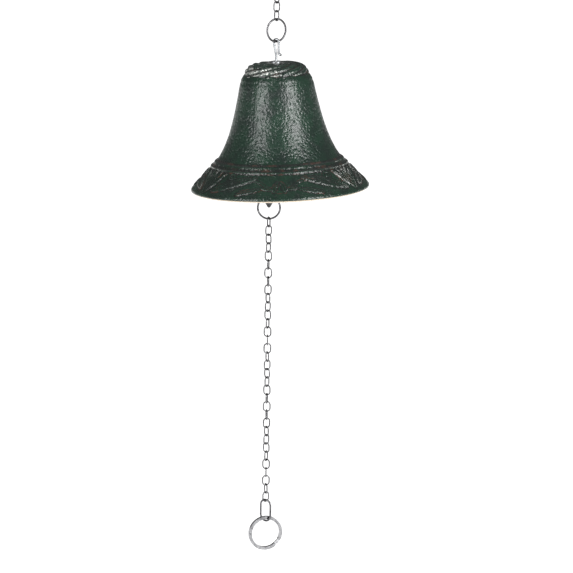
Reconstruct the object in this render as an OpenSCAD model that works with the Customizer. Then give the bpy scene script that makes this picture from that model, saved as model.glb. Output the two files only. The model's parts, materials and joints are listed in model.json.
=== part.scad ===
// Bell on a chain, hung from a wall bracket and rung by a pull chain.
// Millimetres. +Z is up, +X is to the right as one faces the wall, and the wall is the plane y = 0.
// The origin is the middle of the back plate's rear face. The bell hangs on the line x = 0, y = -reach.

/* [Wall bracket] */
// Width of the back plate
plate_w = 36; // [32:1:44]
// Height of the back plate
plate_h = 92; // [90:1:110]
// Thickness of the back plate
plate_t = 5; // [4:0.5:7]
// Distance between the two screw holes, one above the other
screw_spacing = 68; // [64:1:70]
// Diameter of each screw hole
screw_d = 5.5; // [4:0.5:6]
// Distance from the wall to the line that the bell hangs on
reach = 90; // [85:1:110]
// Diameter of the bracket's round arm
arm_d = 9; // [8:0.5:10]
// How far below the middle of the plate the arm leaves it
arm_drop = 14; // [8:1:16]

/* [Bell] */
// Diameter of the bell at its rim
bell_d = 110; // [105:1:120]
// Height of the bell, from the top of its crown to its rim
bell_h = 78; // [76:1:86]
// Wall thickness of the bell casting
bell_wall = 2.8; // [2.4:0.2:3.4]
// How far the bell leans on its hook, right side up, in degrees
bell_lean = 2.5; // [0:0.5:2.5]

/* [Rings] */
// Outer diameter of the two jump rings that carry the bell and the pull chain
ring_d = 15; // [14:0.5:16]
// Outer diameter of the small ring in the bracket's eye
eye_ring_d = 13; // [13:0.5:14]
// Wire diameter of the jump rings and the connector
ring_wire = 1.2; // [1:0.1:1.3]
// Outer diameter of the split ring that is pulled
pull_ring_d = 22; // [20:0.5:26]

/* [Chain] */
// Links between the bracket and the bell
upper_links = 3; // [1:1:6]
// Links in the pull chain
pull_links = 34; // [8:1:34]
// Outer length of a chain link
link_l = 7; // [6.6:0.1:8]
// Outer width of a chain link
link_w = 5; // [4.6:0.1:5.4]
// Wire diameter of a chain link
link_wire = 0.8; // [0.7:0.05:0.9]
// How far each link is turned on from square to the one above it, in degrees
chain_twist = 11.25; // [0:0.25:12]

/* [Hook and clapper] */
// Wire diameter of the hook and of the clapper's link
hook_wire = 1.5; // [1.2:0.1:1.5]
// Height of the hook above its washer
hook_h = 14.2; // [13:0.2:18]
// Diameter of the clapper's weight
clapper_d = 19; // [16:1:22]

/* [Hidden] */
upper_names = [for (i = [1:upper_links]) str("upper_link_", i)];
pull_names = [for (i = [1:pull_links]) str("pull_link_", i < 10 ? "0" : "", i)];

// clearance left between two pieces that hang in each other
play = 0.05;
// how far the fillings swell past the wire where its bends and straights meet
wire_swell = 0.02;
arm_swell = 0.1;
wire_fn = 32;
cast_fn = 96;

// bracket: the arm runs out of the plate, up, and over in one bend, and ends in an eye
arm_out = 6;
arm_rise = 50;
arm_rise_r = 20;
arm_slope = 6;
arm_start = plate_t;
arm_boss_d = arm_d + 7;
arm_boss_l = 4;
arm_rise_end = arm_start + arm_out + arm_rise_r * sin(arm_rise) + arm_slope * cos(arm_rise);
arm_over_r = (reach - arm_rise_end) / (1 + sin(arm_rise));
arm_top_z = arm_rise_r * (1 - cos(arm_rise)) + arm_slope * sin(arm_rise);
arm_end_z = arm_top_z - arm_over_r * cos(arm_rise) - arm_drop;
eye_r = 6.2;
eye_wire = 4;
eye_z = arm_end_z - eye_r - eye_wire / 2 + 1;
countersink_d = screw_d * 1.9;
countersink_t = 2;

// each hanging piece has a top bar and a bottom bar: the middles of the wire at its highest and lowest points
function hung_from(bar, wire_above, wire) = bar + (wire_above + wire) / 2 + play;
function bottom_of(top, length, wire) = top - (length - wire);

eye_bar = eye_z - eye_r;
eye_ring_top = hung_from(eye_bar, eye_wire, ring_wire);
eye_ring_bar = bottom_of(eye_ring_top, eye_ring_d, ring_wire);
link_drop = link_l - 2 * link_wire - play;
upper_top = hung_from(eye_ring_bar, ring_wire, link_wire);
upper_bar = bottom_of(upper_top, link_l, link_wire) - (upper_links - 1) * link_drop;
ring_top = hung_from(upper_bar, link_wire, ring_wire);
ring_bar = bottom_of(ring_top, ring_d, ring_wire);
hook_top = hung_from(ring_bar, ring_wire, hook_wire);

// turn of each piece about the vertical, 0 being flat to the wall
ring_yaw = 36;
function upper_yaw(i) = ring_yaw + 90 * (upper_links + 1 - i);
eye_ring_yaw = ring_yaw + 90 * (upper_links + 1) - 360;
hook_yaw = -26;
function pull_yaw(i) = (i - 7) * (90 + chain_twist);
connector_yaw = -34;
pull_ring_yaw = 17;

// hook: a loop over the ring, a long leg down through the crown, and a short leg with a curled end
loop_r = 1.7;
loop_lean = 12;
leg_bend_r = 3;
long_leg = (loop_r * cos(loop_lean) - leg_bend_r * (1 - cos(loop_lean))) / sin(loop_lean);
loop_down = loop_r * (1 + sin(loop_lean)) + long_leg * cos(loop_lean) + leg_bend_r * sin(loop_lean);
short_leg = 6.2;
curl_r = 1.3;
curl_turn = 70;
curl_end = 0.6;
hook_eye_turn = 352;
washer_t = 0.8;
washer_d = 6.5;
inner_washer_d = 12;
inner_washer_t = 1;
washer_top = hook_top + hook_wire / 2 - hook_h;
crown_z = washer_top - washer_t;
rim_z = crown_z - bell_h;
crown_t = 4.4;
hook_eye_r = 3.4;
inner_washer_z = crown_z - crown_t - inner_washer_t;
hook_eye_z = inner_washer_z - hook_eye_r - hook_wire / 2 - wire_swell - inner_washer_d / 2 * sin(bell_lean);
hook_hole_d = hook_wire + 0.6;

// clapper: hangs in the hook's eye, a little to the left of the bell's own axis
clapper_x = -hook_eye_r;
clapper_link_w = 7.5;
clapper_link_l = 15.5;
hook_eye_bar = hook_eye_z - hook_eye_r;
clapper_link_top = hung_from(hook_eye_bar, hook_wire, hook_wire);
clapper_link_bar = bottom_of(clapper_link_top, clapper_link_l, hook_wire);
tongue_t = 3.6;
tongue_r = 3.8;
clapper_hole_r = 1.6;
// how far above its lowest middle a wire bent to the width w has its inner side, half the given span away
function inside_rise(w, wire, half) = (w - wire) / 2 - sqrt(pow(w / 2 - wire, 2) - half * half);
clapper_z = clapper_link_bar + inside_rise(clapper_link_w, hook_wire, tongue_t / 2) + play - clapper_hole_r;
tip_z = rim_z - 12;
tail_r = 3.3;
// the stem, its narrow neck under the tongue, and where the round weight ends
stem_r = 2.6;
neck_r = 1.8;
neck_l = 4;
neck_bite = 1;
tail_neck = 9;
weight_end_angle = 150;
ring_hole_r = 1.4;
ring_hole_z = tip_z + 6.7;
// the pointed tail's outline, as [radius, height above the ring's hole]
tail_line = [[tail_r + 0.4, 4], [tail_r, 0], [2.7, -3.1], [0.8, -6.4], [0, tip_z - ring_hole_z]];
clapper_ring_top = ring_hole_z - ring_hole_r + inside_rise(ring_d, ring_wire, tail_r) + play;
clapper_ring_bar = bottom_of(clapper_ring_top, ring_d, ring_wire);

// pull chain
pull_top = hung_from(clapper_ring_bar, ring_wire, link_wire);
function pull_link_top(i) = pull_top - (i - 1) * link_drop;
pull_bar = bottom_of(pull_link_top(pull_links), link_l, link_wire);
connector_w = 8.6;
connector_l = 15;
connector_top = hung_from(pull_bar, link_wire, ring_wire);
connector_bar = bottom_of(connector_top, connector_l, ring_wire);
band_w = 1.9;
band_t = 0.9;
coil_gap = 0.04;
// where the coils' ends are, counted round the ring, the space between the two ends of a coil, and how far the
// step's ends reach into the coils
coil_ends_at = 40;
coil_open = 18;
step_bite = 0.5;
// half the stretch of the connector's bend that the two coils cover where they cross it
coils_half = (band_t + coil_gap / 2) / sin(pull_ring_yaw - connector_yaw);
pull_ring_top = connector_bar + inside_rise(connector_w, ring_wire, coils_half) + band_w / 2 + 5 * play;

// Moves its children to the line that the bell hangs on.
module on_bell_axis(x = 0, z = 0, yaw = 0) {
    translate([x, -reach, z]) rotate([0, 0, yaw]) children();
}

// Leans its children with the bell, about the middle of its crown.
module leaning() {
    translate([0, -reach, crown_z])
        rotate([0, -bell_lean, 0])
            translate([0, reach, -crown_z]) children();
}

// An arc of round wire in the XZ plane. It starts at the origin, heading down, and turns towards +X.
module wire_bend(d, angle, r) {
    translate([r, 0, 0])
        rotate([90, 0, 0])
            rotate([0, 0, 180])
                rotate_extrude(angle = angle, $fn = cast_fn)
                    translate([r, 0]) circle(d = d, $fn = wire_fn);
}

// A bent wire in the XZ plane, from the origin heading down. Each step is [straight length, turn, bend radius],
// where a turn above 0 is towards +X and one below 0 towards -X. A swell fills the joints between the steps.
module bent_wire(d, steps, swell = 0, i = 0) {
    if (swell > 0) sphere(d = d + swell, $fn = wire_fn);
    if (i < len(steps)) {
        run = steps[i][0];
        turn = steps[i][1];
        r = steps[i][2];
        if (run > 0)
            translate([0, 0, -run]) cylinder(d = d, h = run, $fn = wire_fn);
        translate([0, 0, -run]) {
            if (swell > 0 && run > 0 && turn != 0) sphere(d = d + swell, $fn = wire_fn);
            if (turn > 0) wire_bend(d, turn, r);
            if (turn < 0) mirror([1, 0, 0]) wire_bend(d, -turn, r);
            side = turn < 0 ? -1 : 1;
            translate([side * r * (1 - cos(turn)), 0, -r * sin(abs(turn))])
                rotate([0, -turn, 0])
                    bent_wire(d, steps, swell, i + 1);
        }
    }
}

// An oval link hanging in the XZ plane with its top bar at the origin. Its ends meet, with a hair's gap, on one leg.
module oval_link(w, l, d, gap) {
    r = (w - d) / 2;
    leg = l - w;
    translate([-r, 0, -(l - d) / 2 - gap / 2])
        bent_wire(d, [[leg / 2 - gap / 2, 180, r], [leg, 180, r], [leg / 2 - gap / 2, 0, 0]]);
}

// A round ring of wire hanging in the XZ plane with its top bar at the origin. Its ends meet at the angle cut,
// counted from the right and upwards.
module jump_ring(outer_d, d, cut) {
    r = (outer_d - d) / 2;
    gap = 2;
    translate([0, 0, -r])
        rotate([90, 0, 0])
            rotate([0, 0, cut + gap / 2])
                rotate_extrude(angle = 360 - gap, $fn = cast_fn)
                    translate([r, 0]) circle(d = d, $fn = wire_fn);
}

// A flat washer lying on the plane z = 0.
module washer(outer_d, hole_d, t) {
    difference() {
        cylinder(d = outer_d, h = t, $fn = cast_fn);
        translate([0, 0, -1]) cylinder(d = hole_d, h = t + 2, $fn = wire_fn);
    }
}

// The back plate: an upright bar with round ends, drilled and countersunk for two screws.
module back_plate() {
    difference() {
        rotate([90, 0, 0]) {
            for (side = [-1, 1])
                translate([0, side * (plate_h - plate_w) / 2, 0])
                    cylinder(d = plate_w, h = plate_t, $fn = cast_fn);
            translate([-plate_w / 2, -(plate_h - plate_w) / 2, 0])
                cube([plate_w, plate_h - plate_w, plate_t]);
        }
        for (side = [-1, 1])
            translate([0, 0, side * screw_spacing / 2])
                rotate([90, 0, 0]) {
                    translate([0, 0, -1]) cylinder(d = screw_d, h = plate_t + 2, $fn = cast_fn);
                    translate([0, 0, plate_t - countersink_t])
                        cylinder(d1 = screw_d, d2 = countersink_d, h = countersink_t, $fn = cast_fn);
                    translate([0, 0, plate_t]) cylinder(d = countersink_d, h = 1, $fn = cast_fn);
                }
    }
}

module wall_bracket() {
    color("darkgreen") {
        back_plate();
        translate([0, -plate_t, -arm_drop])
            rotate([90, 0, 0]) cylinder(d1 = arm_boss_d, d2 = arm_d, h = arm_boss_l, $fn = cast_fn);
        // the bent arm is drawn heading down and turning towards +X, then laid so that it heads out of the wall
        translate([0, -arm_start, -arm_drop])
            rotate([0, 0, -90])
                rotate([0, -90, 0])
                    bent_wire(arm_d, [[arm_out, arm_rise, arm_rise_r], [arm_slope, -90 - arm_rise, arm_over_r]], arm_swell);
        on_bell_axis(z = arm_end_z) sphere(d = arm_d, $fn = cast_fn);
        on_bell_axis(z = eye_z, yaw = 90)
            rotate([90, 0, 0])
                rotate_extrude($fn = cast_fn) translate([eye_r, 0]) circle(d = eye_wire, $fn = wire_fn);
    }
}

module bracket_ring() {
    color("dimgray") on_bell_axis(z = eye_ring_top, yaw = eye_ring_yaw) jump_ring(eye_ring_d, ring_wire, cut = 150);
}

module upper_link(i) {
    color("dimgray")
        on_bell_axis(z = upper_top - (i - 1) * link_drop, yaw = upper_yaw(i))
            oval_link(link_w, link_l, link_wire, gap = 0.1);
}

module upper_ring() {
    color("dimgray") on_bell_axis(z = ring_top, yaw = ring_yaw) jump_ring(ring_d, ring_wire, cut = 160);
}

// The hook is one wire. Both legs start at the top of the loop: the long one leans back under it, runs down
// through the crown and ends in an eye inside the bell, and the short one ends in an outward curl.
module bell_hook() {
    shaft = hook_top - loop_down - hook_eye_z;
    long_steps = [[0, 90 + loop_lean, loop_r], [long_leg, -loop_lean, leg_bend_r], [shaft, 0, 0]];
    short_steps = [[0, -90, loop_r], [short_leg, curl_turn, curl_r], [curl_end, 0, 0]];
    color("silver") {
        on_bell_axis(z = hook_top, yaw = hook_yaw) {
            rotate([0, 90, 0]) bent_wire(hook_wire, long_steps, wire_swell);
            rotate([0, -90, 0]) bent_wire(hook_wire, short_steps, wire_swell);
        }
        on_bell_axis(z = hook_eye_z) bent_wire(hook_wire, [[0, -hook_eye_turn, hook_eye_r]]);
    }
}

module top_washer() {
    color("silver") leaning() on_bell_axis(z = crown_z) washer(washer_d, hook_hole_d, washer_t);
}

module inner_washer() {
    color("silver")
        leaning() on_bell_axis(z = inner_washer_z) washer(inner_washer_d, hook_hole_d, inner_washer_t);
}

// A point on a cubic curve, and the points along it.
function curve_point(p, t) =
    pow(1 - t, 3) * p[0] + 3 * t * pow(1 - t, 2) * p[1] + 3 * t * t * (1 - t) * p[2] + t * t * t * p[3];
function curve(p, steps) = [for (k = [0:steps]) curve_point(p, k / steps)];

// The bell's outline, as [radius, height below the crown] for a bell of the outline's own size
outline_d = 110;
outline_h = 78;
dome = curve([[9.6, 0], [15.5, 0], [18.6, 2], [20, 6.8]], 10);
shoulder = curve([[20, 6.8], [21.6, 9.2], [22.4, 11.4], [23, 13.8]], 6);
waist = curve([[23, 13.8], [26.6, 31.8], [30.1, 47], [38.2, 58.6]], 16);
flare = curve([[38.8, 58.8], [43.4, 64], [48, 69.4], [53.6, 74.6]], 8);
lip = curve([[53.6, 74.6], [55.4, 76.2], [55.2, 77.4], [53.9, 78]], 6);
function tail_of(list) = [for (k = [1:len(list) - 1]) list[k]];
function reversed(list) = [for (k = [len(list) - 1:-1:0]) list[k]];
outer_line = concat(dome, tail_of(shoulder), tail_of(waist), flare, tail_of(lip));
inner_line = [for (p = concat(dome, tail_of(shoulder), tail_of(waist), flare))
    if (p[1] > crown_t + 1) [p[0] - bell_wall, p[1] + bell_wall / 2]];
// the flat under the rim, the fillet under the crown, and the bead round the flare
rim_land = 0.4;
crown_corner = 2;
bead_tube = 0.7;
bead_r = 41.3;
bead_depth = 61.8;

module bell() {
    across = bell_d / outline_d;
    down = bell_h / outline_h;
    color("darkgreen")
        leaning() on_bell_axis(z = crown_z)
            difference() {
                union() {
                    rotate_extrude($fn = cast_fn)
                        polygon([for (p = concat(
                            [[0, 0]],
                            outer_line,
                            [[inner_line[len(inner_line) - 1][0] - rim_land, outline_h]],
                            reversed(inner_line),
                            [[inner_line[0][0] - crown_corner, crown_t], [0, crown_t]]
                        )) [p[0] * across, -p[1] * down]]);
                    translate([0, 0, -bead_depth * down])
                        rotate_extrude($fn = cast_fn)
                            translate([bead_r * across, 0]) circle(r = bead_tube, $fn = wire_fn);
                }
                translate([0, 0, -crown_t * down - 1])
                    cylinder(d = hook_hole_d, h = crown_t * down + 2, $fn = wire_fn);
            }
}

module clapper_link() {
    color("silver") on_bell_axis(x = clapper_x, z = clapper_link_top, yaw = 90)
        oval_link(clapper_link_w, clapper_link_l, hook_wire, gap = 0.2);
}

// The clapper: a flat tongue with a hole, a stem, a round weight, and a pointed tail with a hole for the ring.
module clapper() {
    weight_r = clapper_d / 2;
    weight_z = ring_hole_z + weight_r + tail_neck;
    neck_z = clapper_z - tongue_r + neck_bite;
    stem_angle = asin(stem_r / weight_r);
    color("dimgray")
        difference() {
            union() {
                on_bell_axis(x = clapper_x, z = clapper_z)
                    rotate([90, 0, 0])
                        translate([0, 0, -tongue_t / 2]) cylinder(r = tongue_r, h = tongue_t, $fn = cast_fn);
                on_bell_axis(x = clapper_x)
                    rotate_extrude($fn = cast_fn)
                        polygon(concat(
                            [[0, neck_z], [neck_r, neck_z], [stem_r, neck_z - neck_l]],
                            [for (a = [stem_angle:10:weight_end_angle])
                                [weight_r * sin(a), weight_z + weight_r * cos(a)]],
                            [for (p = tail_line) [p[0], ring_hole_z + p[1]]]
                        ));
            }
            on_bell_axis(x = clapper_x, z = clapper_z)
                rotate([90, 0, 0]) cylinder(r = clapper_hole_r, h = 2 * tongue_t, center = true, $fn = cast_fn);
            on_bell_axis(x = clapper_x, z = ring_hole_z)
                rotate([0, 90, 0]) cylinder(r = ring_hole_r, h = 4 * tail_r, center = true, $fn = cast_fn);
        }
}

module clapper_ring() {
    color("dimgray") on_bell_axis(x = clapper_x, z = clapper_ring_top) jump_ring(ring_d, ring_wire, cut = 200);
}

module pull_link(i) {
    color("dimgray")
        on_bell_axis(x = clapper_x, z = pull_link_top(i), yaw = pull_yaw(i))
            oval_link(link_w, link_l, link_wire, gap = 0.1);
}

module connector() {
    color("dimgray")
        on_bell_axis(x = clapper_x, z = connector_top, yaw = connector_yaw + 180)
            oval_link(connector_w, connector_l, ring_wire, gap = 0.3);
}

// The split ring: two flat coils side by side, joined by a short slanting step.
module pull_ring() {
    r = (pull_ring_d - band_w) / 2;
    pitch = band_t + coil_gap;
    step_l = 2 * r * sin(coil_open / 2) + 2 * step_bite;
    bite_turn = step_bite / r * 180 / PI;
    color("silver")
        on_bell_axis(x = clapper_x, z = pull_ring_top - r, yaw = pull_ring_yaw)
            rotate([90, coil_ends_at, 0]) {
                for (side = [-1, 1])
                    translate([0, 0, side * pitch / 2 - band_t / 2])
                        rotate([0, 0, coil_open / 2 + (1 - side) / 2 * bite_turn])
                            rotate_extrude(angle = 360 - coil_open - bite_turn, $fn = cast_fn)
                                translate([r - band_w / 2, 0]) square([band_w, band_t]);
                rotate([atan(pitch / step_l), 0, 0])
                    translate([r * cos(coil_open / 2) - band_w / 2, -step_l / 2, -band_t / 2])
                        cube([band_w, step_l, band_t]);
            }
}

wall_bracket();
bracket_ring();
for (i = [1:upper_links])
    upper_link(i);
upper_ring();
bell_hook();
top_washer();
bell();
inner_washer();
clapper_link();
clapper();
clapper_ring();
for (i = [1:pull_links])
    pull_link(i);
connector();
pull_ring();
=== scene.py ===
"""A cast bell on a short chain, hung from a wall bracket and rung by a long pull chain.

Metres, in the shared frame: +Z is up, the wall is the plane y = 0, and the bell hangs in front of it.
"""

import json
import logging
import math
from dataclasses import dataclass
from enum import Enum
from typing import Sequence

import bmesh
import bpy
from mathutils import Matrix, Vector, noise


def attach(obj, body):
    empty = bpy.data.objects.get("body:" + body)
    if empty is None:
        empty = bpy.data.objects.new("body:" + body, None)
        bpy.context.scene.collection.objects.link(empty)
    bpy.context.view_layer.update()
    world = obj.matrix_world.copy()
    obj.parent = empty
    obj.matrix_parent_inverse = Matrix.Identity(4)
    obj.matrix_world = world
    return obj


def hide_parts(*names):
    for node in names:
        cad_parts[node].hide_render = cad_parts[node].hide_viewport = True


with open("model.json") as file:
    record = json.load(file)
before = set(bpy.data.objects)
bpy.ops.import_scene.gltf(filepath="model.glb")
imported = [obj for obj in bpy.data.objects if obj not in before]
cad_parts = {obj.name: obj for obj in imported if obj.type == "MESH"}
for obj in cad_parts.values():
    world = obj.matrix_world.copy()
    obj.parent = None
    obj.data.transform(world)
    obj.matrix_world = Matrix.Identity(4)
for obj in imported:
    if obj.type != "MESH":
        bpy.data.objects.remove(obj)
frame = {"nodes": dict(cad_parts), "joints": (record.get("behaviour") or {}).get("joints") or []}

LOG = logging.getLogger("wall_bell")
MM = 0.001
# from the wire of the ring that the hook hangs on, down to the bell's crown
HOOK_DROP_MM = 12.85
BELL_LEAN = math.radians(2.5)
Point = tuple[float, float]
Colour = tuple[float, float, float]


# --------------------------------------------------------------------------- shading


class Signal:
    """A shader socket that takes part in arithmetic: each operator adds its Math node."""

    def __init__(self, paint: "Paint", socket: bpy.types.NodeSocket) -> None:
        """Keeps the socket and the paint that it belongs to.

        Args:
            paint: the material under construction.
            socket: the output socket that carries the value.
        """
        self.paint = paint
        self.socket = socket

    def _maths(self, operation: str, first: "Signal | float", second: "Signal | float") -> "Signal":
        """Adds one Math node.

        Args:
            operation: the Math node's operation.
            first: its first input.
            second: its second input.

        Returns:
            The node's result.
        """
        return self.paint.signal("ShaderNodeMath", {"operation": operation}, {0: first, 1: second})

    def __add__(self, other: "Signal | float") -> "Signal":
        """self + other."""
        return self._maths("ADD", self, other)

    def __radd__(self, other: float) -> "Signal":
        """other + self."""
        return self._maths("ADD", other, self)

    def __sub__(self, other: "Signal | float") -> "Signal":
        """self - other."""
        return self._maths("SUBTRACT", self, other)

    def __rsub__(self, other: float) -> "Signal":
        """other - self."""
        return self._maths("SUBTRACT", other, self)

    def __mul__(self, other: "Signal | float") -> "Signal":
        """self * other."""
        return self._maths("MULTIPLY", self, other)

    def __rmul__(self, other: float) -> "Signal":
        """other * self."""
        return self._maths("MULTIPLY", other, self)

    def above(self, low: float, high: float) -> "Signal":
        """Rises smoothly from 0 at low to 1 at high.

        Args:
            low: the value that gives 0.
            high: the value that gives 1.

        Returns:
            The mask, from 0 to 1.
        """
        return self.paint.signal(
            "ShaderNodeMapRange",
            {"interpolation_type": "SMOOTHSTEP", "clamp": True},
            {"Value": self, "From Min": low, "From Max": high},
        )


class Paint:
    """A material under construction, with one method that adds every kind of node."""

    def __init__(self, name: str) -> None:
        """Starts an empty material.

        Args:
            name: the material's name.
        """
        self.material = bpy.data.materials.new(name)
        self.material.use_nodes = True
        self.tree = self.material.node_tree
        self.tree.nodes.clear()
        self.place = self.signal("ShaderNodeTexCoord", output="Object")

    def node(self, kind: str, settings: dict | None = None, inputs: dict | None = None) -> bpy.types.Node:
        """Adds a node.

        Args:
            kind: the node's type.
            settings: its properties, set first.
            inputs: the values or signals of its sockets, by name or number.

        Returns:
            The node.
        """
        made = self.tree.nodes.new(kind)
        for key, value in (settings or {}).items():
            setattr(made, key, value)
        for key, value in (inputs or {}).items():
            if isinstance(value, Signal):
                self.tree.links.new(value.socket, made.inputs[key])
            elif isinstance(value, bpy.types.NodeSocket):
                self.tree.links.new(value, made.inputs[key])
            else:
                made.inputs[key].default_value = value
        return made

    def signal(
        self,
        kind: str,
        settings: dict | None = None,
        inputs: dict | None = None,
        output: str | int = 0,
    ) -> Signal:
        """Adds a node and gives one of its outputs.

        Args:
            kind: the node's type.
            settings: its properties.
            inputs: the values or signals of its sockets.
            output: the name or number of the output.

        Returns:
            The output.
        """
        return Signal(self, self.node(kind, settings, inputs).outputs[output])

    def grain(self, size_mm: float, detail: float = 3.0, rough: float = 0.5, seed: float = 0.0) -> Signal:
        """Cloudy noise in the piece's own space.

        Args:
            size_mm: the size of its blotches.
            detail: how many finer octaves it has.
            rough: how strong those octaves are.
            seed: another value gives another cloud.

        Returns:
            The noise, about 0 to 1.
        """
        settings = {"noise_dimensions": "4D"}
        sockets = {"Vector": self.place, "W": seed, "Scale": 1 / (size_mm * MM)}
        sockets |= {"Detail": detail, "Roughness": rough}
        return self.signal("ShaderNodeTexNoise", settings, sockets, "Fac")

    def pebbles(self, size_mm: float, output: str = "Distance", feature: str = "F1") -> Signal:
        """Cells in the piece's own space.

        Args:
            size_mm: the size of a cell.
            output: the output to give.
            feature: the cells' feature.

        Returns:
            The chosen output.
        """
        sockets = {"Vector": self.place, "Scale": 1 / (size_mm * MM)}
        return self.signal("ShaderNodeTexVoronoi", {"feature": feature}, sockets, output)

    def attribute(self, name: str) -> Signal:
        """A number stored on the mesh's points, or 0 where a mesh has none."""
        return self.signal("ShaderNodeAttribute", {"attribute_name": name}, None, "Fac")

    def blend(self, factor: Signal | float, first: "Signal | Colour", second: "Signal | Colour") -> Signal:
        """Mixes two colours.

        Args:
            factor: 0 gives the first colour and 1 the second.
            first: a colour or a signal.
            second: a colour or a signal.

        Returns:
            The mixed colour.
        """
        sockets = {0: factor}
        for key, value in ((6, first), (7, second)):
            sockets[key] = value if isinstance(value, Signal) else (*value, 1.0)
        return self.signal("ShaderNodeMix", {"data_type": "RGBA"}, sockets, 2)

    def relief(self, height: Signal, depth_mm: float, strength: float = 1.0) -> Signal:
        """A Bump node.

        Args:
            height: the height, about 0 to 1.
            depth_mm: how far a height of 1 stands up.
            strength: how much of the bump shows.

        Returns:
            The bumped normal.
        """
        sockets = {"Height": height, "Distance": depth_mm * MM, "Strength": strength}
        return self.signal("ShaderNodeBump", None, sockets)

    def surface(self, **sockets: "Signal | float | Colour") -> bpy.types.Material:
        """Ends the material in one Principled surface.

        Args:
            sockets: the surface's sockets, with _ for each space in a name.

        Returns:
            The finished material.
        """
        inputs = {}
        for key, value in sockets.items():
            inputs[key.replace("_", " ")] = (*value, 1.0) if isinstance(value, tuple) else value
        shader = self.node("ShaderNodeBsdfPrincipled", None, inputs)
        self.node("ShaderNodeOutputMaterial", None, {"Surface": shader.outputs["BSDF"]})
        return self.material


@dataclass(frozen=True)
class GreenIron:
    """Dark green paint over rough cast iron, black in the hollows and brushed with silver on the edges, the
    silver stronger toward the sides as a painted reflection.
    """

    name: str = "green_cast_iron"
    green: Colour = (0.0115, 0.0300, 0.0190)
    deep_green: Colour = (0.0100, 0.0180, 0.0145)
    soot: Colour = (0.012, 0.014, 0.013)
    rust: Colour = (0.050, 0.028, 0.021)
    silver: Colour = (0.62, 0.63, 0.60)
    bare: Colour = (0.48, 0.40, 0.30)

    def make(self) -> bpy.types.Material:
        """Builds the material."""
        paint = Paint(self.name)
        edge_wear_and_sheen = paint.attribute("edge_wear_and_sheen")
        hollow = paint.attribute("hollow")
        raw = paint.attribute("raw")
        patches = paint.grain(size_mm=9.0, detail=4.0, rough=0.6)
        fine = paint.grain(size_mm=1.7, detail=4.0, rough=0.6, seed=3.0)
        grit = paint.grain(size_mm=0.8, detail=2.0, rough=0.5, seed=7.0)
        pits = paint.pebbles(size_mm=1.9)
        colour = paint.blend(patches.above(0.35, 0.68), self.green, self.deep_green)
        colour = paint.blend(fine.above(0.56, 0.72) * 0.45, colour, self.soot)
        colour = paint.blend((hollow * (0.5 + patches)).above(0.08, 0.6) * 0.95, colour, self.soot)
        stain = paint.grain(size_mm=6.0, detail=3.0, rough=0.6, seed=11.0).above(0.51, 0.60)
        colour = paint.blend(stain * hollow.above(0.15, 0.6) * 0.8, colour, self.rust)
        broad = paint.grain(size_mm=24.0, detail=2.0, rough=0.5, seed=9.0).above(0.42, 0.62)
        strokes = paint.grain(size_mm=3.0, detail=5.0, rough=0.7, seed=5.0)
        # Silver where the edges are dry-brushed, partly a painted reflection: its mask is stronger toward
        # the bell's sides.
        silver_and_sheen = (edge_wear_and_sheen * (0.1 + 0.5 * broad + 0.75 * strokes)).above(0.42, 0.72) * fine.above(0.40, 0.56)
        colour = paint.blend(silver_and_sheen * 0.9, colour, self.silver)
        chipped = (raw * (0.45 + fine)).above(0.30, 0.55)
        colour = paint.blend(chipped, colour, self.bare)
        height = 0.6 * fine + 0.45 * pits.above(0.0, 0.6) + 0.25 * grit
        return paint.surface(
            Base_Color=colour,
            Roughness=0.21 + 0.12 * patches + 0.06 * fine,
            Metallic=silver_and_sheen * 0.6,
            IOR=1.5,
            Normal=paint.relief(height, depth_mm=0.5, strength=0.85),
        )


@dataclass(frozen=True)
class WireFinish:
    """Plated or blackened steel wire."""

    name: str
    colour: Colour
    dull: Colour
    roughness: float
    wear_mm: float = 2.2
    bump_mm: float = 0.012

    def make(self) -> bpy.types.Material:
        """Builds the material."""
        paint = Paint(self.name)
        clouds = paint.grain(self.wear_mm, detail=4.0, rough=0.6)
        scuffs = paint.grain(size_mm=0.35, detail=3.0, rough=0.6, seed=4.0)
        return paint.surface(
            Base_Color=paint.blend(clouds.above(0.42, 0.66), self.colour, self.dull),
            Metallic=1.0,
            Roughness=self.roughness + 0.22 * clouds * scuffs,
            Normal=paint.relief(scuffs, self.bump_mm, strength=0.7),
        )


@dataclass(frozen=True)
class BareIron:
    """Black cast iron, unpainted and a little oily."""

    name: str = "bare_cast_iron"
    black: Colour = (0.030, 0.030, 0.031)
    grey: Colour = (0.105, 0.103, 0.100)

    def make(self) -> bpy.types.Material:
        """Builds the material."""
        paint = Paint(self.name)
        clouds = paint.grain(size_mm=3.0, detail=5.0, rough=0.65)
        sand = paint.grain(size_mm=0.5, detail=3.0, rough=0.6, seed=2.0)
        return paint.surface(
            Base_Color=paint.blend(clouds.above(0.4, 0.7), self.black, self.grey),
            Metallic=0.75,
            Roughness=0.38 + 0.2 * sand,
            Normal=paint.relief(0.6 * sand + 0.4 * clouds, depth_mm=0.2, strength=0.7),
        )


@dataclass(frozen=True)
class PalePaper:
    """The plain pale floor."""

    name: str = "pale_floor"
    tone: Colour = (0.93, 0.93, 0.93)
    glow: float = 1.2

    def make(self) -> bpy.types.Material:
        """Builds the material."""
        return Paint(self.name).surface(
            Base_Color=self.tone, Roughness=0.9, Emission_Color=self.tone, Emission_Strength=self.glow
        )


class Look(Enum):
    """The finishes of the object."""

    GREEN = GreenIron()
    IRON = BareIron()
    DARK = WireFinish("dark_steel_wire", (0.15, 0.15, 0.155), (0.055, 0.055, 0.058), 0.24)
    ZINC = WireFinish("zinc_wire", (0.36, 0.37, 0.38), (0.22, 0.23, 0.24), 0.42)
    NICKEL = WireFinish("nickel_ring", (0.42, 0.42, 0.43), (0.22, 0.22, 0.23), 0.16)


# --------------------------------------------------------------------------- shaping


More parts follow.
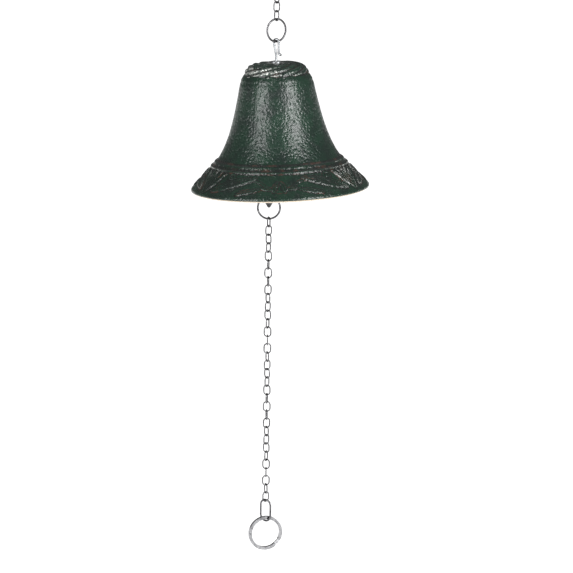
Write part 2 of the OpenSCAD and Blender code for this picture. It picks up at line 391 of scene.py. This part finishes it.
def curve_points(ends: Sequence[Point], steps: int) -> list[Point]:
    """Points along a cubic curve.

    Args:
        ends: the curve's two ends, with its two handles between them.
        steps: the number of stretches.

    Returns:
        steps + 1 points.
    """
    points = []
    for step in range(steps + 1):
        t = step / steps
        weights = ((1 - t) ** 3, 3 * t * (1 - t) ** 2, 3 * t * t * (1 - t), t**3)
        points.append(tuple(sum(w * p[k] for w, p in zip(weights, ends)) for k in (0, 1)))
    return points


def smooth_step(low: float, high: float, value: float) -> float:
    """Rises smoothly from 0 at low to 1 at high."""
    t = min(1.0, max(0.0, (value - low) / (high - low)))
    return t * t * (3 - 2 * t)


def hump(value: float, middle: float, half: float) -> float:
    """A smooth bump: 1 at middle, and about a third of that half away from it."""
    return math.exp(-(((value - middle) / half) ** 2))


def spun(outline: Sequence[Vector], centre: Vector, segments: int) -> bmesh.types.BMesh:
    """Spins an outline all the way round an upright line.

    Args:
        outline: the outline's points, in order.
        centre: a point on the line.
        segments: the number of steps in the turn.

    Returns:
        The open or closed surface.
    """
    shape = bmesh.new()
    points = [shape.verts.new(point) for point in outline]
    edges = [shape.edges.new(pair) for pair in zip(points, points[1:])]
    bmesh.ops.spin(
        shape,
        geom=points + edges,
        cent=centre,
        axis=(0, 0, 1),
        angle=2 * math.pi,
        steps=segments,
        use_merge=True,
    )
    bmesh.ops.remove_doubles(shape, verts=shape.verts, dist=1e-7)
    bmesh.ops.recalc_face_normals(shape, faces=shape.faces)
    return shape


def finished(shape: bmesh.types.BMesh, name: str, look: Look, body: str) -> bpy.types.Object:
    """Turns a shape into a smooth, finished piece on its body.

    Args:
        shape: the shape, which is used up.
        name: the piece's name.
        look: its finish.
        body: the body that it rides on.

    Returns:
        The piece.
    """
    for face in shape.faces:
        face.smooth = True
    mesh = bpy.data.meshes.new(name)
    shape.to_mesh(mesh)
    shape.free()
    piece = bpy.data.objects.new(name, mesh)
    bpy.context.scene.collection.objects.link(piece)
    mesh.materials.append(material_of(look))
    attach(piece, body)
    return piece


MATERIALS: dict[Look, bpy.types.Material] = {}


def material_of(look: Look) -> bpy.types.Material:
    """The material of a finish, made once."""
    if look not in MATERIALS:
        MATERIALS[look] = look.value.make()
    return MATERIALS[look]


# --------------------------------------------------------------------------- the bell


@dataclass(frozen=True)
class Leaf:
    """One raised leaf of the band, from its stalk to its tip.

    Places are [degrees round the bell, part of the way down the band].
    """

    stalk: Point
    tip: Point
    width_mm: float
    height_mm: float = 0.9
    ribs_mm: float = 1.7
    bend_mm: float = 0.0


@dataclass(frozen=True)
class Band:
    """The leaf band round the bell's flare: one motif and its mirror image, repeated."""

    motifs: int = 3
    height_part: float = 0.75
    edge_in_mm: float = 0.25
    edge_out_mm: float = 0.35
    vein_mm: float = 0.42
    vein_deep: float = 0.42
    rib_deep: float = 0.22
    rib_slant: float = 1.1
    flat_part: float = 0.72
    radius_mm: float = 47.0
    depth_mm: float = 21.5
    leaves: tuple[Leaf, ...] = (
        Leaf((53, 0.84), (17, 0.36), 5.6, 1.0, 1.5, 1.2),
        Leaf((31, 0.88), (13, 0.70), 2.6, 0.8, 1.2, 0.3),
        Leaf((60, 0.92), (47, 0.24), 3.2, 1.0, 1.3, 0.8),
        Leaf((60, 0.92), (54, 0.17), 3.0, 1.0, 1.3, 0.3),
        Leaf((60, 0.95), (60, 0.13), 3.4, 1.1, 1.3),
        Leaf((4, 0.80), (1, 0.46), 2.4, 0.8, 1.4, 0.4),
        Leaf((13, 0.66), (4, 0.72), 1.9, 0.6, 1.2, 0.2),
    )
    curl: Point = (40, 0.36)
    curl_mm: float = 3.4
    curl_up: float = 0.8
    stem_at: float = 0.60
    stem_wave: float = 0.17
    stem_up: float = 0.22

    def place(self, at: Point) -> Point:
        """The flat place, in millimetres, of degrees round and a part of the way down."""
        return math.radians(at[0]) * self.radius_mm, at[1] * self.depth_mm

    def leaf_height(self, leaf: Leaf, x: float, y: float) -> float:
        """The height of one leaf at a flat place.

        Args:
            leaf: the leaf.
            x: millimetres round from the motif's middle.
            y: millimetres down the band.

        Returns:
            The height in millimetres, 0 off the leaf.
        """
        x0, y0 = self.place(leaf.stalk)
        x1, y1 = self.place(leaf.tip)
        length = math.hypot(x1 - x0, y1 - y0)
        ax, ay = (x1 - x0) / length, (y1 - y0) / length
        along = ((x - x0) * ax + (y - y0) * ay) / length
        if not 0.0 < along < 1.0:
            return 0.0
        across = (x - x0) * -ay + (y - y0) * ax - leaf.bend_mm * math.sin(math.pi * along)
        half = 0.5 * leaf.width_mm * math.sin(math.pi * along**0.8) ** 0.75
        foot = half + self.edge_out_mm
        if half < 0.05 or abs(across) > foot:
            return 0.0
        side = 1.0 - smooth_step(half - self.edge_in_mm, foot, abs(across))
        vein = self.vein_deep * hump(across, 0.0, self.vein_mm)
        swept = (along * length + abs(across) * self.rib_slant) / leaf.ribs_mm
        ribs = self.rib_deep * (0.5 + 0.5 * math.cos(2 * math.pi * swept))
        ribs *= smooth_step(0.3, 0.9, abs(across))
        cushion = self.flat_part + (1 - self.flat_part) * (1 - (across / foot) ** 2)
        return leaf.height_mm * side * (cushion - vein - ribs)

    def height(self, turn: float, down: float) -> float:
        """The relief's height at a place on the bell.

        Args:
            turn: radians round from the front.
            down: part of the way down the band, 0 to 1.

        Returns:
            The height in millimetres.
        """
        period = 2 * math.pi / self.motifs
        turn = abs((turn + period / 2) % period - period / 2)
        x, y = turn * self.radius_mm, down * self.depth_mm
        best = 0.0
        for leaf in self.leaves:
            best = max(best, self.leaf_height(leaf, x, y))
            mirrored = self.leaf_height(leaf, -x, y) if leaf.stalk[0] < 15 else 0.0
            best = max(best, mirrored, self.leaf_height(leaf, 2 * math.radians(60) * self.radius_mm - x, y))
        cx, cy = self.place(self.curl)
        away = math.hypot(x - cx, y - cy)
        if away < self.curl_mm:
            phase = away / self.curl_mm * 2.0 + math.atan2(y - cy, x - cx) / (2 * math.pi)
            ring = 0.5 + 0.5 * math.cos(2 * math.pi * phase)
            best = max(best, self.curl_up * ring * (1 - smooth_step(0.8, 1.0, away / self.curl_mm)))
        stem = self.stem_at + self.stem_wave * math.cos(3.0 * math.pi * turn / period * 2)
        off = abs(down - stem) * self.depth_mm
        best = max(best, self.stem_up * (1 - smooth_step(0.3, 0.9, off)))
        fade = smooth_step(0.14, 0.2, down) * (1 - smooth_step(0.93, 0.985, down))
        return self.height_part * best * fade


@dataclass(frozen=True)
class Moulding:
    """A thin ridge round the bell, or a groove where its height is below 0."""

    depth_mm: float
    half_mm: float
    height_mm: float

    def rise(self, depth: float) -> float:
        """Its height, in millimetres, at a depth below the crown."""
        return self.height_mm * hump(depth, self.depth_mm, self.half_mm)


@dataclass(frozen=True)
class BellCasting:
    """The bell: a thin flared casting with a rope moulding round its crown and leaves round its flare."""

    axis: Vector
    crown: float
    lean: float
    segments: int = 720
    crown_mm: float = 4.4
    hole_mm: float = 1.0
    rope_in_mm: float = 9.6
    rope_out_mm: float = 20.0
    rope_low_mm: float = 6.8
    strands: int = 6
    rope_turns: int = 9
    strand_mm: float = 1.15
    flare_mm: float = 57.5
    band_top_mm: float = 58.9
    band_low_mm: float = 76.0
    flare_lines: tuple[Moulding, ...] = (Moulding(62.2, 0.55, 0.6), Moulding(59.5, 0.6, 0.35))
    body_lines: tuple[Moulding, ...] = (Moulding(10.9, 0.45, -0.22), Moulding(9.7, 0.6, 0.154))
    band: Band = Band()

    def outline(self) -> list[Point]:
        """The outer line, as [radius, depth] from the crown's middle to the lip, in millimetres."""
        flat = [(self.hole_mm, 0.0), (5.0, 0.0), (8.6, 0.0)]
        dome = curve_points(((9.6, 0.0), (15.5, 0.0), (18.6, 2.0), (20.0, 6.8)), 28)
        shoulder = curve_points(((20.4, 7.3), (21.6, 9.2), (22.4, 11.4), (23, 13.8)), 8)
        waist = curve_points(((23, 13.8), (26.6, 31.8), (30.1, 47), (38.2, 58.6)), 26)
        flare = curve_points(((39.0, 58.9), (43.6, 64.2), (48.2, 69.6), (53.7, 74.6)), 50)
        lip = curve_points(((53.7, 74.6), (55.6, 76.3), (55.4, 77.5), (53.9, 78.0)), 7)
        return flat + dome + shoulder + waist[1:] + flare + lip[1:]

    def inside(self) -> list[Point]:
        """The inner line, from the lip up to the crown's hole, in millimetres."""
        line = curve_points(((51.6, 77.6), (46.5, 72.2), (41.8, 66.6), (35.2, 59.8)), 9)
        line += curve_points(((35.2, 59.8), (27.4, 48.2), (23.8, 33.2), (20.2, 15.2)), 9)[1:]
        line += curve_points(((20.2, 15.2), (19.6, 11.0), (18.5, 8.0), (15.0, self.crown_mm)), 5)[1:]
        return line + [(8.0, self.crown_mm), (self.hole_mm, self.crown_mm), (self.hole_mm, 0.0)]

    def rope_height(self, turn: float, r: float, depth: float) -> float:
        """How far the rope's strands stand up at a place near the crown, in millimetres."""
        across = 0.5 * (r - self.rope_in_mm) / (self.rope_out_mm - self.rope_in_mm)
        across += 0.5 * depth / self.rope_low_mm
        phase = math.pi * self.strands * across + self.rope_turns * turn
        ridge = abs(math.cos(phase / 2)) ** 0.55
        return self.strand_mm * (ridge - 0.8)

    def shape(self) -> bmesh.types.BMesh:
        """Spins the outline and raises the rope, the leaves and the cast unevenness on it."""
        outline = self.outline() + self.inside()
        points = [Vector((0, self.axis.y - r * MM, self.crown - d * MM)) for r, d in outline]
        shape = spun(points, self.axis, self.segments)
        shape.normal_update()
        moves = []
        for vert in shape.verts:
            place = vert.co - self.axis
            r, depth = math.hypot(place.x, place.y) / MM, (self.crown - vert.co.z) / MM
            turn = math.atan2(place.x, -place.y)
            outward = vert.normal.x * place.x + vert.normal.y * place.y
            outer = outward > 0 or (depth < 0.5 and r > 6)
            move = 0.10 * noise.noise(vert.co / (5 * MM)) + 0.05 * noise.noise(vert.co / (1.6 * MM))
            if outer and depth < self.rope_low_mm + 0.4 and r > self.rope_in_mm:
                fade = smooth_step(self.rope_in_mm, self.rope_in_mm + 2.5, r)
                fade *= 1 - smooth_step(5.9, 7.0, depth)
                move += fade * self.rope_height(turn, r, depth)
            elif outer and self.flare_mm < depth:
                down = (depth - self.band_top_mm) / (self.band_low_mm - self.band_top_mm)
                if 0 <= down <= 1:
                    move += self.band.height(turn, down)
                move += sum(line.rise(depth) for line in self.flare_lines)
            elif outer:
                move += sum(line.rise(depth) for line in self.body_lines)
            moves.append((vert, vert.normal.copy(), move * MM))
        for vert, normal, move in moves:
            vert.co += normal * move
        shape.normal_update()
        return shape

    def mark(self, shape: bmesh.types.BMesh) -> None:
        """Stores where the casting is worn, with more silver toward its sides as a painted grazing
        reflection, and where it is hollow and bare, for its finish.

        Args:
            shape: the raised casting.
        """
        layers = {name: shape.verts.layers.float.new(name) for name in ("edge_wear_and_sheen", "hollow", "raw")}
        lift = {}
        for vert in shape.verts:
            ring = [edge.other_vert(vert).co for edge in vert.link_edges]
            middle = sum(ring, Vector()) / len(ring)
            lift[vert] = (vert.co - middle).dot(vert.normal) / MM
        for vert in shape.verts:
            ring = [lift[edge.other_vert(vert)] for edge in vert.link_edges]
            value = 0.5 * lift[vert] + 0.5 * sum(ring) / len(ring)
            depth = (self.crown - vert.co.z) / MM
            modelled = depth < 7.5 or depth > 58.2
            turn = abs(math.atan2(vert.co.x - self.axis.x, self.axis.y - vert.co.y))
            # Painted reflection: the silver grows toward the bell's sides, away from the front, standing in
            # for a grey grazing reflection. The rest is real dry-brushed wear on the raised edges.
            near_rim, sideways_sheen = smooth_step(72.5, 75.0, depth), smooth_step(0.5, 1.0, turn)
            wear_sheen_weight = (1 - 0.8 * near_rim) * (0.45 + 0.55 * sideways_sheen)
            # The extra factor on the turn adds still more painted side reflection.
            wear_sheen_weight = 1.35 if depth < 12 else wear_sheen_weight * (1 + 0.35 * smooth_step(0.8, 1.2, turn))
            vert[layers["edge_wear_and_sheen"]] = smooth_step(0.008, 0.05, value) * wear_sheen_weight if modelled else 0.0
            vert[layers["hollow"]] = smooth_step(0.002, 0.022, -value) if modelled else 0.0
            vert[layers["raw"]] = smooth_step(76.9, 77.6, depth)

    def build(self) -> bpy.types.Object:
        """Makes the bell."""
        shape = self.shape()
        self.mark(shape)
        middle = Vector((self.axis.x, self.axis.y, self.crown))
        bmesh.ops.rotate(shape, verts=shape.verts, cent=middle, matrix=Matrix.Rotation(-self.lean, 3, "Y"))
        piece = finished(shape, "bell_casting", Look.GREEN, "bell")
        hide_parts("bell")
        return piece


# --------------------------------------------------------------------------- metalwork


@dataclass(frozen=True)
class Metalwork:
    """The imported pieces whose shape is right: they keep it and get their finish."""

    looks: tuple[tuple[str, Look], ...] = (
        ("wall_bracket", Look.GREEN),
        ("clapper_link", Look.ZINC),
        ("clapper_ring", Look.DARK),
        ("clapper", Look.IRON),
        ("bell_hook", Look.ZINC),
        ("top_washer", Look.ZINC),
        ("inner_washer", Look.ZINC),
        ("pull_ring", Look.NICKEL),
    )

    def dress(self) -> None:
        """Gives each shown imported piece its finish."""
        named = dict(self.looks)
        for name, node in frame["nodes"].items():
            look = named.get(name, Look.DARK)
            node.data.materials.clear()
            node.data.materials.append(material_of(look))


# --------------------------------------------------------------------------- the studio


@dataclass(frozen=True)
class SoftBox:
    """A rectangular soft light: its name, its place, its width and height in metres, and its watts."""

    name: str
    at: Vector
    size: tuple[float, float]
    watts: float


@dataclass(frozen=True)
class Studio:
    """The camera, the floor, the lights and the air."""

    eye: Vector = Vector((0.0081, -1.568, 0.0677))
    aim: Vector = Vector((0.0081, -0.090, -0.2276))
    roll: float = math.radians(0.73)
    lens_mm: float = 152.0
    sensor_mm: float = 36.0
    view_m: float = 200.0
    floor_z: float = -1.2
    floor_size: float = 80.0
    air: float = 0.13
    front_air: float = 0.004
    air_from: tuple[float, float] = (-0.50, 0.38)
    lit_point: Vector = Vector((0, -0.09, -0.13))
    softboxes: tuple[SoftBox, ...] = (
        SoftBox("left_softbox", Vector((-1.15, -1.25, 0.30)), (0.42, 1.3), 23.0),
        SoftBox("right_softbox", Vector((1.05, -1.25, 0.30)), (0.50, 1.3), 36.0),
        SoftBox("overhead_softbox", Vector((0.0, 0.55, 1.25)), (1.6, 1.2), 3.0),
    )

    def camera(self) -> None:
        """Sets the camera."""
        data = bpy.data.cameras.new("studio_camera")
        data.lens = self.lens_mm
        data.sensor_width = self.sensor_mm
        data.clip_end = self.view_m
        camera = bpy.data.objects.new("studio_camera", data)
        camera.location = self.eye
        level = (self.aim - self.eye).to_track_quat("-Z", "Y").to_matrix()
        camera.rotation_euler = (level @ Matrix.Rotation(self.roll, 3, "Z")).to_euler()
        bpy.context.scene.collection.objects.link(camera)
        bpy.context.scene.camera = camera

    def hang(self, box: SoftBox) -> None:
        """Hangs a soft light that faces the bell."""
        data = bpy.data.lights.new(box.name, "AREA")
        data.shape = "RECTANGLE"
        data.size, data.size_y = box.size
        data.energy = box.watts
        light = bpy.data.objects.new(box.name, data)
        light.location = box.at
        light.rotation_euler = (self.lit_point - box.at).to_track_quat("-Z", "Y").to_euler()
        bpy.context.scene.collection.objects.link(light)

    def fill_air(self) -> None:
        """Lights the air: pale wherever the camera looks, but lighting the bell mostly from behind."""
        world = bpy.data.worlds.new("studio_air")
        bpy.context.scene.world = world
        world.use_nodes = True
        nodes, links = world.node_tree.nodes, world.node_tree.links
        nodes["Background"].inputs["Color"].default_value = (1.0, 1.0, 1.0, 1.0)
        place = nodes.new("ShaderNodeTexCoord")
        parts = nodes.new("ShaderNodeSeparateXYZ")
        shade = nodes.new("ShaderNodeMapRange")
        near, far = self.air_from
        spread = {"From Min": near, "From Max": far, "To Min": self.front_air, "To Max": self.air}
        for key, value in spread.items():
            shade.inputs[key].default_value = value
        seen = nodes.new("ShaderNodeLightPath")
        pale = nodes.new("ShaderNodeMath")
        pale.operation = "MAXIMUM"
        links.new(place.outputs["Generated"], parts.inputs[0])
        links.new(parts.outputs["Y"], shade.inputs["Value"])
        links.new(shade.outputs[0], pale.inputs[0])
        links.new(seen.outputs["Is Camera Ray"], pale.inputs[1])
        links.new(pale.outputs[0], nodes["Background"].inputs["Strength"])

    def lay_floor(self) -> None:
        """Lays the pale floor."""
        shape = bmesh.new()
        bmesh.ops.create_grid(shape, x_segments=1, y_segments=1, size=self.floor_size / 2)
        bmesh.ops.translate(shape, verts=shape.verts, vec=(0, 0, self.floor_z))
        mesh = bpy.data.meshes.new("floor")
        shape.to_mesh(mesh)
        shape.free()
        floor = bpy.data.objects.new("floor", mesh)
        bpy.context.scene.collection.objects.link(floor)
        mesh.materials.append(PalePaper().make())

    def build(self) -> None:
        """Sets up the camera, floor, lights and air."""
        self.camera()
        self.lay_floor()
        for box in self.softboxes:
            self.hang(box)
        self.fill_air()
        bpy.context.scene.view_settings.view_transform = "Standard"


# --------------------------------------------------------------------------- assembly


def main() -> None:
    """Builds the studio and every piece."""
    logging.basicConfig(level=logging.INFO, format="%(name)s: %(message)s")
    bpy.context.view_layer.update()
    Studio().build()
    pivots = {joint["child"]: Vector(joint["pos_m"]) for joint in frame["joints"]}
    hung = pivots["bell"]
    bell = BellCasting(Vector((hung.x, hung.y, 0)), hung.z - HOOK_DROP_MM * MM, BELL_LEAN).build()
    LOG.info("%s: %d faces", bell.name, len(bell.data.polygons))
    Metalwork().dress()


if __name__ == "__main__":
    main()
